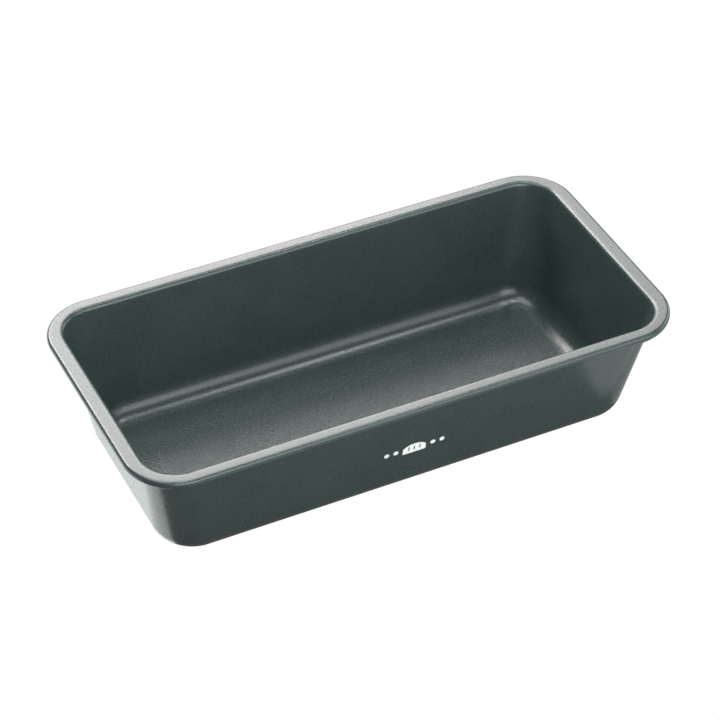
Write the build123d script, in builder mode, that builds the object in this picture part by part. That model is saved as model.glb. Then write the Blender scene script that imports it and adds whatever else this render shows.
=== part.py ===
"""A 3 lb loaf pan: one pressed steel shell with a wired rim, and a size mark printed on its front.

Millimetres, +Z up. The origin is on the underside of the base, below the middle of the pan.
+X runs along the pan, and -Y is the front, the long wall that carries the size mark.
"""
from build123d import *
import os
from math import atan2, cos, sin

# ---- driving dimensions -------------------------------------------------------------------------
rim_length = 280.0        # over the rim, along X
rim_width = 142.5         # over the rim, along Y
pan_height = 64.0         # underside of the base to the top of the rim
sheet = 0.8               # steel gauge

# rim: the sheet turns out over the top of the wall, runs level, and curls under round a wire
rim_height = 4.0          # top of the rim to the underside of the curled leg
rim_corner_radius = 26.0  # plan radius of the rim's outer edge
side_flange = 5.0         # outer edge of the rim to where the flange bends down, at the long walls
end_flange = 5.8          # the same at the end walls, where the rim is a little wider
bend_radius = 2.5         # visible radius of that bend, from the flange into the inner wall
bend_corner_radius = 19.1 # plan radius where the bend starts
leg_reach = 5.6           # outer edge of the rim to the free end of the curled leg
wire_clearance = 0.05     # radial, between the wire and the sheet curled round it
wire_gap = 1.5            # between the two butted ends of the wire

# walls: flat and drafted, joined by corners that keep nearly the same radius all the way down
end_inset = 9.9           # how much further in the foot of an end wall is than its top
side_inset = 10.9         # the same for a long wall
foot_corner_radius = 21.5 # plan radius of the outer corner at the foot of the walls
base_radius = 12.5        # outer radius between the walls and the base

# size mark: a slashed loaf between two pairs of dots, printed on the middle of the front wall
mark_height = 29.0        # its middle, above the underside of the base
ink = 0.12                # thickness of the printed layer
loaf_length = 12.0
loaf_flank = 3.6          # height of the loaf's straight sides
loaf_crown = 2.4          # rise of its rounded top above them
slash_count = 3
slash_pitch = 2.9
slash_length = 2.9
slash_width = 0.7
dot_diameter = 2.6
dots_a_side = 2
dot_pitch = 4.8
first_dot = 9.7           # middle of the loaf to the nearest dot on each side

# ---- sizes that follow --------------------------------------------------------------------------
curl_flat = 0.6                                   # upright stretch left between the curl's two bends
curl_radius = (rim_height - curl_flat) / 2
inner_top_length = rim_length - 2 * (end_flange + bend_radius)
inner_top_width = rim_width - 2 * (side_flange + bend_radius)
inner_corner_radius = bend_corner_radius - bend_radius
end_draft = atan2(end_inset, pan_height)
side_draft = atan2(side_inset, pan_height)
end_sheet = sheet / cos(end_draft)                # level thickness of the drafted end wall
side_sheet = sheet / cos(side_draft)
outer_top_length = inner_top_length + 2 * end_sheet
outer_top_width = inner_top_width + 2 * side_sheet
foot_length = outer_top_length - 2 * end_inset
foot_width = outer_top_width - 2 * side_inset
overshoot = 1.0                                   # how far a cutting solid passes the face it opens


def widened(at_height):
    """Fraction of the full height, which is also the fraction of the draft taken up."""
    return at_height / pan_height


def wall_outline(at_height, within=0.0):
    """Length, width and corner radius of the walls at a height, 'within' their outer face."""
    length = foot_length + 2 * end_inset * widened(at_height)
    width = foot_width + 2 * side_inset * widened(at_height)
    outer_radius = inner_corner_radius + sheet
    radius = foot_corner_radius + (outer_radius - foot_corner_radius) * widened(at_height)
    return length - 2 * within, width - 2 * within, radius - within


def rim_outline(within):
    """Length, width and corner radius of the rim, 'within' its outer edge."""
    return rim_length - 2 * within, rim_width - 2 * within, rim_corner_radius - within


def lowest_edges(part):
    """The ring of edges round the lowest face of a part."""
    return part.faces().sort_by(Axis.Z)[0].outer_wire().edges()


# ---- the space inside the walls, as a solid to cut with -----------------------------------------
with BuildPart() as cavity:
    with BuildSketch(Plane.XY.offset(sheet)):
        length, width, radius = wall_outline(sheet, within=end_sheet)
        RectangleRounded(length, width, radius)
    with BuildSketch(Plane.XY.offset(pan_height + overshoot)):
        length, width, radius = wall_outline(pan_height + overshoot, within=end_sheet)
        RectangleRounded(length, width, radius)
    loft(ruled=True)
    fillet(lowest_edges(cavity.part), radius=base_radius - sheet)

# ---- the outside of the walls and base, as a solid ----------------------------------------------
with BuildPart() as tub:
    with BuildSketch():
        RectangleRounded(*wall_outline(0.0))
    with BuildSketch(Plane.XY.offset(pan_height)):
        RectangleRounded(*wall_outline(pan_height))
    loft(ruled=True)
    fillet(lowest_edges(tub.part), radius=base_radius)

# ---- the space inside the curled rim, as a solid to cut with ------------------------------------
with BuildPart() as curl_space:
    with BuildSketch(Plane.XY.offset(pan_height - rim_height + sheet)):
        RectangleRounded(*rim_outline(sheet))
    extrude(amount=rim_height - 2 * sheet)
    fillet(curl_space.faces().filter_by(Axis.Z).edges(), radius=curl_radius - sheet)
    # the slot between the free end of the curled leg and the wall
    with BuildSketch(Plane.XY.offset(pan_height - rim_height - overshoot)):
        RectangleRounded(*rim_outline(leg_reach))
    extrude(amount=sheet + overshoot)
    add(tub.part, mode=Mode.SUBTRACT)
    under_flange = curl_space.faces().filter_by(Axis.Z).sort_by(Axis.Z)[-1]
    fillet(under_flange.inner_wires()[0].edges(), radius=bend_radius - sheet)

# ---- pan_shell: one pressed sheet, from the base up the walls and out into the curled rim -------
with BuildPart() as pan_shell:
    with BuildSketch(Plane.XY.offset(pan_height - rim_height)):
        RectangleRounded(*rim_outline(0.0))
    extrude(amount=rim_height)
    fillet(pan_shell.faces().filter_by(Axis.Z).edges(), radius=curl_radius)
    add(tub.part)
    add(cavity.part, mode=Mode.SUBTRACT)
    flange = pan_shell.faces().sort_by(Axis.Z)[-1]
    fillet(flange.inner_wires()[0].edges(), radius=bend_radius)
    add(curl_space.part, mode=Mode.SUBTRACT)

# ---- rim_wire: the hoop that the rim is curled round, butted at the middle of the back ----------
wire_radius = (rim_height - 2 * sheet) / 2 - wire_clearance
wire_inset = rim_height / 2
with BuildPart() as rim_wire:
    length, width, radius = rim_outline(wire_inset)
    right = length / 2
    back = width / 2
    with BuildLine(Plane.XY.offset(pan_height - rim_height / 2)) as hoop:
        FilletPolyline(
            (wire_gap / 2, back),
            (right, back),
            (right, -back),
            (-right, -back),
            (-right, back),
            (-wire_gap / 2, back),
            radius=radius,
        )
    with BuildSketch(Plane(origin=hoop.line @ 0, z_dir=hoop.line % 0)):
        Circle(wire_radius)
    sweep()

# ---- size_mark: the print on the front wall, one thin solid for each patch of ink ---------------
wall_y = -wall_outline(mark_height)[1] / 2
front_wall = Plane(
    origin=(0, wall_y, mark_height),
    x_dir=(1, 0, 0),
    z_dir=(0, -cos(side_draft), -sin(side_draft)),
)
loaf_foot = -(loaf_flank + loaf_crown) / 2
shoulder = loaf_foot + loaf_flank
loaf_end = loaf_length / 2
with BuildPart() as size_mark:
    with BuildSketch(front_wall):
        with BuildLine():
            Polyline(
                (-loaf_end, shoulder),
                (-loaf_end, loaf_foot),
                (loaf_end, loaf_foot),
                (loaf_end, shoulder),
            )
            ThreePointArc((loaf_end, shoulder), (0.0, shoulder + loaf_crown), (-loaf_end, shoulder))
        make_face()
        with GridLocations(slash_pitch, 1.0, slash_count, 1):
            SlotOverall(slash_length, slash_width, rotation=90, mode=Mode.SUBTRACT)
        dots_middle = first_dot + dot_pitch * (dots_a_side - 1) / 2
        with Locations((-dots_middle, 0.0), (dots_middle, 0.0)):
            with GridLocations(dot_pitch, 1.0, dots_a_side, 1):
                Circle(dot_diameter / 2)
    extrude(amount=ink)

# ---- write one STEP file for each piece ---------------------------------------------------------
pieces = {"pan_shell": pan_shell, "rim_wire": rim_wire, "size_mark": size_mark}
os.makedirs("parts", exist_ok=True)
for name, piece in pieces.items():
    piece.part.label = name
    export_step(piece.part, f"parts/{name}.step")
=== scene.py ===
"""The looks of the loaf pan: a smooth shell mesh, its coating, ink and wire, and a pale studio."""

import math

import bpy
import numpy as np
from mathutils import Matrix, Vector


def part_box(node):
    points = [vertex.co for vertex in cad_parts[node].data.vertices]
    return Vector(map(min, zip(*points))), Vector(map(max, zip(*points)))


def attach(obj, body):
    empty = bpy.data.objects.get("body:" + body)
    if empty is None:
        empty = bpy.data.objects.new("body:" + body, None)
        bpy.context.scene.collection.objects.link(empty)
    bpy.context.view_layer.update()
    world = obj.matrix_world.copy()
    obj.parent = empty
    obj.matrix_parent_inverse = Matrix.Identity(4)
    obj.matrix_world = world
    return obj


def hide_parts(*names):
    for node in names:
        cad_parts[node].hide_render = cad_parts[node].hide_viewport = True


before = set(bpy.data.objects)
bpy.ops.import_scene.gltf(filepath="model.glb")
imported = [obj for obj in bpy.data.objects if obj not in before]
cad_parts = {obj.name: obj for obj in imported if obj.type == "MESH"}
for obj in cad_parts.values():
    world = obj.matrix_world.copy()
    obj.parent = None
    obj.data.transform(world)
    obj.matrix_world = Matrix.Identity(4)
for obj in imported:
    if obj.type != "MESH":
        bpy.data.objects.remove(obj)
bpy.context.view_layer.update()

MM = 0.001

# ---- the pan's section, in metres ---------------------------------------------------------------
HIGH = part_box("pan_shell")[1]
HALF_LENGTH = HIGH.x
HALF_WIDTH = HIGH.y
HEIGHT = HIGH.z
SHEET = 0.8 * MM
RIM_HEIGHT = 4.0 * MM
RIM_CORNER = 26.0 * MM          # plan radius of the rim's outer edge
CURL_RADIUS = 1.7 * MM          # outer radius of the curl's two bends
LEG_REACH = 5.6 * MM            # rim edge to the free end of the curled leg
BEND_RADIUS = 2.5 * MM          # from the level flange into the inner wall
END_WALL = 8.3 * MM             # rim edge to the inner face of an end wall, at the top
SIDE_WALL = 7.5 * MM            # the same for a long wall
INNER_CORNER = 16.6 * MM        # plan radius of the inner corner, at the top
FOOT_CORNER = 21.5 * MM         # plan radius of the outer corner, at the foot
END_INSET = 9.9 * MM            # how much further in the foot of an end wall is
SIDE_INSET = 10.9 * MM          # the same for a long wall
BASE_RADIUS = 12.5 * MM         # outer radius between walls and base

# ---- how finely the shell is divided ------------------------------------------------------------
CORNER_STEPS = 28               # round each corner of the outline
LONG_STEPS = 40                 # along each long side, between its corners
SHORT_STEPS = 18                # along each end
BASE_STEPS = 20                 # round the bend from the base to the wall
WALL_STEPS = 14                 # up the flat of the wall
BEND_STEPS = 9                  # round the bend from the wall to the flange
FLANGE_STEPS = 3                # across the level flange
CURL_STEPS = 8                  # round each of the curl's two bends
SHARP_ANGLE = 50                # degrees between faces that keep a crisp edge


class Outline:
    """Points round a rounded rectangle, always the same number, in step from one ring to the next."""

    def __init__(self):
        quadrants = [(1, 1, 0), (-1, 1, 90), (-1, -1, 180), (1, -1, 270)]
        steps_after = [LONG_STEPS, SHORT_STEPS, LONG_STEPS, SHORT_STEPS]
        signs, angles, blends = [], [], []
        for index, (sign_x, sign_y, start) in enumerate(quadrants):
            for step in range(CORNER_STEPS + 1):
                signs.append((sign_x, sign_y))
                angles.append(start + 90 * step / CORNER_STEPS)
                blends.append((0.0, 0, 0))
            after = quadrants[(index + 1) % 4]
            for step in range(1, steps_after[index]):
                signs.append((sign_x, sign_y))
                angles.append(start + 90)
                blends.append((step / steps_after[index], after[0], after[1]))
        radians = np.radians(angles)
        self.signs = np.array(signs, float)
        self.ways = np.stack([np.cos(radians), np.sin(radians)], axis=1)
        self.share = np.array([b[0] for b in blends])[:, None]
        self.next_signs = np.array([b[1:] for b in blends], float)
        self.count = len(angles)

    def at(self, half_x, half_y, radius):
        """The outline's points in plan."""
        centre = np.array([half_x - radius, half_y - radius])
        here = self.signs * centre + radius * self.ways
        there = self.next_signs * centre + radius * self.ways
        return here * (1 - self.share) + there * self.share

    def lean(self, rise_x, rise_y, rise_radius):
        """How far each point moves outward per metre of height, from what the sizes do."""
        weight_x = np.abs(self.ways[:, 0])
        weight_y = np.abs(self.ways[:, 1])
        return (rise_x - rise_radius) * weight_x + (rise_y - rise_radius) * weight_y + rise_radius


outline = Outline()
END_DRAFT = math.atan2(END_INSET, HEIGHT)
SIDE_DRAFT = math.atan2(SIDE_INSET, HEIGHT)
END_SHEET = SHEET / math.cos(END_DRAFT)
SIDE_SHEET = SHEET / math.cos(SIDE_DRAFT)
OUTER_CORNER = INNER_CORNER + SHEET
RADIUS_RISE = (OUTER_CORNER - FOOT_CORNER) / HEIGHT
LEAN = outline.lean(END_INSET / HEIGHT, SIDE_INSET / HEIGHT, RADIUS_RISE)
DRAFT = np.arctan(LEAN)


def wall_points(heights, inner):
    """Points of the wall's inner or outer face, each at its own height."""
    within_x = END_SHEET if inner else 0.0
    within_y = SIDE_SHEET if inner else 0.0
    top_x = HALF_LENGTH - END_WALL + END_SHEET - within_x
    top_y = HALF_WIDTH - SIDE_WALL + SIDE_SHEET - within_y
    top = outline.at(top_x, top_y, OUTER_CORNER - within_x)
    foot = outline.at(top_x - END_INSET, top_y - SIDE_INSET, FOOT_CORNER - within_x)
    share = (np.broadcast_to(heights, (outline.count,)) / HEIGHT)[:, None]
    plan = foot + (top - foot) * share
    return np.column_stack([plan, share[:, 0] * HEIGHT])


def ring_at(centres, out, up):
    """A ring of points at a distance outward and upward from a ring of centres."""
    moved = centres.copy()
    moved[:, :2] += outline.ways * np.broadcast_to(out, (outline.count,))[:, None]
    moved[:, 2] += up
    return moved


def rim_ring(inset, height):
    """A level ring of the rim's own outline, inset from its outer edge."""
    plan = outline.at(HALF_LENGTH - inset, HALF_WIDTH - inset, RIM_CORNER - inset)
    return np.column_stack([plan, np.full(outline.count, height)])


def base_bend(inner):
    """Rings from the base up to the wall, round the bend between them."""
    radius = BASE_RADIUS - SHEET if inner else BASE_RADIUS
    touch = BASE_RADIUS - radius * np.sin(DRAFT)
    centres = wall_points(touch, inner)
    centres = ring_at(centres, -radius * np.cos(DRAFT), radius * np.sin(DRAFT))
    rings = []
    for step in range(BASE_STEPS + 1):
        turn = (math.pi / 2 - DRAFT) * step / BASE_STEPS
        rings.append(ring_at(centres, radius * np.sin(turn), -radius * np.cos(turn)))
    return rings


def rim_bend(inner):
    """Rings from the wall up into the flange."""
    radius = BEND_RADIUS if inner else BEND_RADIUS - SHEET
    top = HEIGHT if inner else HEIGHT - SHEET
    touch = top - radius * (1 - np.sin(DRAFT))
    centres = wall_points(touch, inner)
    centres = ring_at(centres, radius * np.cos(DRAFT), -radius * np.sin(DRAFT))
    rings = []
    for step in range(BEND_STEPS + 1):
        turn = DRAFT + (math.pi / 2 - DRAFT) * step / BEND_STEPS
        rings.append(ring_at(centres, -radius * np.cos(turn), radius * np.sin(turn)))
    return rings


def curl(radius):
    """Rings round the outside or the inside of the curl, from its top to its underside."""
    upper = rim_ring(CURL_RADIUS, HEIGHT - CURL_RADIUS)
    lower = rim_ring(CURL_RADIUS, HEIGHT - RIM_HEIGHT + CURL_RADIUS)
    rings = []
    for step in range(CURL_STEPS + 1):
        turn = math.pi / 2 * (1 - step / CURL_STEPS)
        rings.append(ring_at(upper, radius * math.cos(turn), radius * math.sin(turn)))
    for step in range(CURL_STEPS + 1):
        turn = -math.pi / 2 * step / CURL_STEPS
        rings.append(ring_at(lower, radius * math.cos(turn), radius * math.sin(turn)))
    return rings


def between(first, last, steps):
    """Rings in between two rings, without either of them."""
    return [first + (last - first) * step / steps for step in range(1, steps)]


def shell_rings():
    """All the rings of the shell, from the edge of the floor over the rim to the edge of the base."""
    inner_base = base_bend(inner=True)
    inner_rim = rim_bend(inner=True)
    outside = curl(CURL_RADIUS)
    inside = curl(CURL_RADIUS - SHEET)
    outer_rim = rim_bend(inner=False)
    outer_base = base_bend(inner=False)
    rings = list(inner_base)
    rings += between(inner_base[-1], inner_rim[0], WALL_STEPS)
    rings += inner_rim
    rings += between(inner_rim[-1], outside[0], FLANGE_STEPS)
    rings += outside
    rings.append(rim_ring(LEG_REACH, HEIGHT - RIM_HEIGHT))
    rings.append(rim_ring(LEG_REACH, HEIGHT - RIM_HEIGHT + SHEET))
    rings += inside[::-1]
    rings += between(inside[0], outer_rim[-1], FLANGE_STEPS)
    rings += outer_rim[::-1]
    rings += between(outer_rim[0], outer_base[-1], WALL_STEPS)
    rings += outer_base[::-1]
    return rings


def build_shell():
    """The pressed shell as one closed mesh."""
    rings = shell_rings()
    count = outline.count
    points = np.concatenate(rings)
    faces = [tuple(range(count))]
    for ring in range(len(rings) - 1):
        for place in range(count):
            after = (place + 1) % count
            low = ring * count
            high = low + count
            faces.append((low + after, low + place, high + place, high + after))
    last = (len(rings) - 1) * count
    faces.append(tuple(last + place for place in reversed(range(count))))
    mesh = bpy.data.meshes.new("pan_shell_pressed")
    mesh.from_pydata(points.tolist(), [], faces)
    mesh.validate()
    shell = bpy.data.objects.new("pan_shell_pressed", mesh)
    bpy.context.scene.collection.objects.link(shell)
    mesh.shade_smooth()
    mesh.set_sharp_from_angle(angle=math.radians(SHARP_ANGLE))
    return shell


# ---- materials: colours, ranges of roughness, patterns per metre and depths ----------------------
NOISE_LOW = 0.3                 # a noise pattern seldom leaves the range between these two
NOISE_HIGH = 0.7
COATING_DARK = (0.024, 0.037, 0.035, 1.0)
COATING_LIGHT = (0.029, 0.043, 0.041, 1.0)
COATING_ROUGHNESS = (0.18, 0.32)
COATING_IOR = 1.5
MOTTLE_PER_METRE = 60.0
WAVES_PER_METRE = 45.0
WAVE_DEPTH = 0.01 * MM
GRAIN_PER_METRE = 1350.0
GRAIN_DEPTH = 0.27 * MM
WALL_GRAIN = 0.15               # how much of that depth is left on the walls and the rim
FLOOR_GRAIN_TOP = 0.82 * MM     # the floor's deeper grain starts to fade at this height
WALL_GRAIN_START = 1.4 * MM     # and has faded by this one
INK_DARK = (0.66, 0.68, 0.67, 1.0)
INK_LIGHT = (0.78, 0.80, 0.79, 1.0)
INK_ROUGHNESS = (0.45, 0.6)
INK_PER_METRE = 900.0
INK_DEPTH = 0.006 * MM
WIRE_DARK = (0.36, 0.36, 0.35, 1.0)
WIRE_LIGHT = (0.52, 0.52, 0.50, 1.0)
WIRE_ROUGHNESS = (0.28, 0.42)
WIRE_PER_METRE = 2200.0
WIRE_DEPTH = 0.004 * MM


def new_material(name):
    """An empty node material and its shader."""
    material = bpy.data.materials.new(name)
    material.use_nodes = True
    shader = material.node_tree.nodes["Principled BSDF"]
    return material, material.node_tree, shader


def add_node(tree, kind, **settings):
    """A new node of a kind, with its settings."""
    node = tree.nodes.new(kind)
    for key, value in settings.items():
        setattr(node, key, value)
    return node


def noise(tree, vector, scale, detail=2.0):
    """A noise pattern, with its scale in features per metre."""
    node = add_node(tree, "ShaderNodeTexNoise")
    node.inputs["Scale"].default_value = scale
    node.inputs["Detail"].default_value = detail
    tree.links.new(vector, node.inputs["Vector"])
    return node.outputs["Fac"]


def map_range(tree, value, low, high, from_low=NOISE_LOW, from_high=NOISE_HIGH):
    """A value stretched from one range to another, and kept within it."""
    node = add_node(tree, "ShaderNodeMapRange")
    node.inputs["From Min"].default_value = from_low
    node.inputs["From Max"].default_value = from_high
    node.inputs["To Min"].default_value = low
    node.inputs["To Max"].default_value = high
    tree.links.new(value, node.inputs["Value"])
    return node.outputs["Result"]


def bump(tree, height, distance, strength=None, under=None):
    """A bump of a real height in metres, over another one when it is given."""
    node = add_node(tree, "ShaderNodeBump")
    node.inputs["Strength"].default_value = 1.0
    node.inputs["Distance"].default_value = distance
    if strength is not None:
        tree.links.new(strength, node.inputs["Strength"])
    tree.links.new(height, node.inputs["Height"])
    if under is not None:
        tree.links.new(under, node.inputs["Normal"])
    return node.outputs["Normal"]


def two_tones(tree, shader, pattern, dark, light):
    """A base colour between two, by a pattern."""
    mix = add_node(tree, "ShaderNodeMix", data_type="RGBA")
    mix.inputs["A"].default_value = dark
    mix.inputs["B"].default_value = light
    tree.links.new(map_range(tree, pattern, 0.0, 1.0), mix.inputs["Factor"])
    tree.links.new(mix.outputs["Result"], shader.inputs["Base Color"])


def coating_material():
    """Dark teal-grey non-stick: satin, with a fine sprayed grain that is deeper on the floor."""
    material, tree, shader = new_material("nonstick_coating")
    place = add_node(tree, "ShaderNodeTexCoord").outputs["Object"]
    mottle = noise(tree, place, MOTTLE_PER_METRE, detail=3.0)
    two_tones(tree, shader, mottle, COATING_DARK, COATING_LIGHT)
    grain = noise(tree, place, GRAIN_PER_METRE, detail=1.0)
    tree.links.new(map_range(tree, grain, *COATING_ROUGHNESS), shader.inputs["Roughness"])
    waves = noise(tree, place, WAVES_PER_METRE, detail=1.0)
    normal = bump(tree, waves, WAVE_DEPTH)
    above = add_node(tree, "ShaderNodeSeparateXYZ")
    tree.links.new(place, above.inputs[0])
    share = map_range(tree, above.outputs["Z"], 1.0, WALL_GRAIN, FLOOR_GRAIN_TOP, WALL_GRAIN_START)
    normal = bump(tree, grain, GRAIN_DEPTH, strength=share, under=normal)
    tree.links.new(normal, shader.inputs["Normal"])
    shader.inputs["IOR"].default_value = COATING_IOR
    return material


def ink_material():
    """White pad-printing ink: matte, slightly uneven."""
    material, tree, shader = new_material("print_ink_white")
    place = add_node(tree, "ShaderNodeTexCoord").outputs["Object"]
    patches = noise(tree, place, INK_PER_METRE)
    two_tones(tree, shader, patches, INK_DARK, INK_LIGHT)
    tree.links.new(map_range(tree, patches, *INK_ROUGHNESS), shader.inputs["Roughness"])
    tree.links.new(bump(tree, patches, INK_DEPTH), shader.inputs["Normal"])
    return material


def wire_material():
    """Drawn steel wire: bright and finely mottled."""
    material, tree, shader = new_material("drawn_steel")
    place = add_node(tree, "ShaderNodeTexCoord").outputs["Object"]
    mottle = noise(tree, place, WIRE_PER_METRE, detail=3.0)
    two_tones(tree, shader, mottle, WIRE_DARK, WIRE_LIGHT)
    shader.inputs["Metallic"].default_value = 1.0
    tree.links.new(map_range(tree, mottle, *WIRE_ROUGHNESS), shader.inputs["Roughness"])
    tree.links.new(bump(tree, mottle, WIRE_DEPTH), shader.inputs["Normal"])
    return material


def give(piece, material):
    """One material on the whole piece."""
    piece.data.materials.clear()
    piece.data.materials.append(material)


shell = build_shell()
give(shell, coating_material())
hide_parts("pan_shell")
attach(shell, "root")
give(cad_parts["rim_wire"], wire_material())
give(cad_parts["size_mark"], ink_material())

# ---- camera -------------------------------------------------------------------------------------
CAMERA_AZIMUTH = -25.8          # degrees from straight in front, towards the left end
CAMERA_ELEVATION = 39.94
CAMERA_DISTANCE = 1.3105        # metres from the point it looks at
CAMERA_AIM = Vector((0.0, 0.0, 0.03825))
CAMERA_LENS = 135.96            # millimetres, as the sensor's width is
CAMERA_SENSOR = 36.0


def towards(azimuth, elevation):
    """A unit vector, from degrees round from -Y and degrees up."""
    around = math.radians(azimuth)
    up = math.radians(elevation)
    return Vector((math.sin(around) * math.cos(up), -math.cos(around) * math.cos(up), math.sin(up)))


def add_camera():
    """The camera, looking at the pan from the front and a little to its left."""
    camera = bpy.data.objects.new("camera", bpy.data.cameras.new("camera"))
    bpy.context.scene.collection.objects.link(camera)
    back = towards(CAMERA_AZIMUTH, CAMERA_ELEVATION)
    camera.location = CAMERA_AIM + back * CAMERA_DISTANCE
    camera.rotation_euler = back.to_track_quat("Z", "Y").to_euler()
    camera.data.lens = CAMERA_LENS
    camera.data.sensor_width = CAMERA_SENSOR
    bpy.context.scene.camera = camera


add_camera()

# ---- studio -------------------------------------------------------------------------------------
STUDIO_RADIUS = 1.5             # metres from the pan to every softbox
FLOOR_DROP = 0.2 * MM           # the cards and the floor lie just under the pan
FLOOR_REACH = 6.0               # metres from the pan to each side of the floor
SURROUND = 0.2                  # radiance of everything round the studio
WARM = (1.09, 1.02, 1.03)
COOL = (0.94, 1.0, 1.0)
CARD_COLOUR = (0.95, 1.0, 0.99)


def softbox(name, azimuth, elevation, span, rise, radiance, colour=(1.0, 1.0, 1.0)):
    """A soft rectangular light facing the pan: span is its degrees of azimuth, rise of elevation."""
    width = 2 * STUDIO_RADIUS * math.tan(math.radians(span / 2)) * math.cos(math.radians(elevation))
    height = 2 * STUDIO_RADIUS * math.tan(math.radians(rise / 2))
    data = bpy.data.lights.new(name, "AREA")
    data.shape = "RECTANGLE"
    data.size = width
    data.size_y = height
    data.energy = radiance * width * height * math.pi
    data.color = colour
    light = bpy.data.objects.new(name, data)
    way = towards(azimuth, elevation)
    light.location = way * STUDIO_RADIUS
    light.rotation_euler = way.to_track_quat("Z", "Y").to_euler()
    bpy.context.scene.collection.objects.link(light)


def glowing_sheet(name, left, right, front, back, radiance, colour=(1.0, 1.0, 1.0)):
    """A flat sheet under the pan that glows evenly."""
    z = -FLOOR_DROP
    corners = [(left, front, z), (right, front, z), (right, back, z), (left, back, z)]
    mesh = bpy.data.meshes.new(name)
    mesh.from_pydata(corners, [], [(0, 1, 2, 3)])
    sheet = bpy.data.objects.new(name, mesh)
    bpy.context.scene.collection.objects.link(sheet)
    material = bpy.data.materials.new(name)
    material.use_nodes = True
    tree = material.node_tree
    tree.nodes.clear()
    glow = add_node(tree, "ShaderNodeEmission")
    glow.inputs["Color"].default_value = (*colour, 1.0)
    glow.inputs["Strength"].default_value = radiance
    tree.links.new(glow.outputs[0], add_node(tree, "ShaderNodeOutputMaterial").inputs["Surface"])
    give(sheet, material)
    return sheet


def bounce_card(name, left, right, front, back, radiance):
    """A part of the white floor as the pan's walls see it. The camera doesn't see it."""
    card = glowing_sheet(name, left, right, front, back, radiance, CARD_COLOUR)
    card.visible_camera = False


def white_floor():
    """The floor as the camera sees it: blown out to white. It lights nothing."""
    reach = FLOOR_REACH
    floor = glowing_sheet("white_floor", -reach, reach, -reach, reach, radiance=1.0)
    floor.visible_diffuse = False
    floor.visible_glossy = False
    floor.visible_shadow = False


# azimuth, elevation, span and rise in degrees, then radiance and colour
softbox("key", 164.0, 47.0, 30.0, 16.0, 7.2, WARM)
softbox("key_left", 197.0, 47.0, 36.0, 16.0, 14.2, WARM)
softbox("key_low", 164.0, 33.5, 30.0, 13.0, 9.2, WARM)
softbox("key_low_left", 195.0, 33.5, 32.0, 13.0, 14.0, WARM)
softbox("key_right", 140.0, 37.0, 18.0, 24.0, 5.0, WARM)
softbox("back_low", 170.0, 15.0, 60.0, 20.0, 2.0)
softbox("key_top", 170.0, 65.0, 50.0, 10.0, 10.5, COOL)
softbox("strip", 86.0, 71.0, 44.0, 8.0, 13.0, COOL)
softbox("overhead_left", 265.0, 70.0, 90.0, 20.0, 5.2, COOL)
softbox("top", 0.0, 85.0, 90.0, 10.0, 18.0, COOL)
softbox("front_right", 32.0, 42.0, 36.0, 18.0, 2.9, COOL)
softbox("front_left", 352.0, 35.0, 44.0, 30.0, 4.5, COOL)
softbox("front_low", 10.0, 16.0, 80.0, 32.0, 2.9)
softbox("right", 92.0, 14.0, 50.0, 28.0, 2.7)

# left, right, front and back edges in metres, then radiance
bounce_card("card_left", -0.6, -0.118, -0.046, 0.6, 1.75)
bounce_card("card_front_left", -0.6, -0.118, -0.3, -0.046, 0.27)
bounce_card("card_front", -0.118, 0.112, -0.3, -0.10, 0.75)
bounce_card("card_far_front", -0.6, 0.6, -1.0, -0.3, 1.5)
bounce_card("card_front_right", 0.112, 0.4, -0.3, -0.068, 1.05)
bounce_card("card_right", 0.12, 0.6, -0.068, 0.3, 0.5)
bounce_card("card_back", -0.118, 0.12, 0.05, 0.6, 1.5)
white_floor()

world = bpy.data.worlds.new("studio")
bpy.context.scene.world = world
world.use_nodes = True
surround = world.node_tree.nodes["Background"]
surround.inputs["Color"].default_value = (1, 1, 1, 1)
surround.inputs["Strength"].default_value = SURROUND
bpy.context.scene.view_settings.view_transform = "Standard"
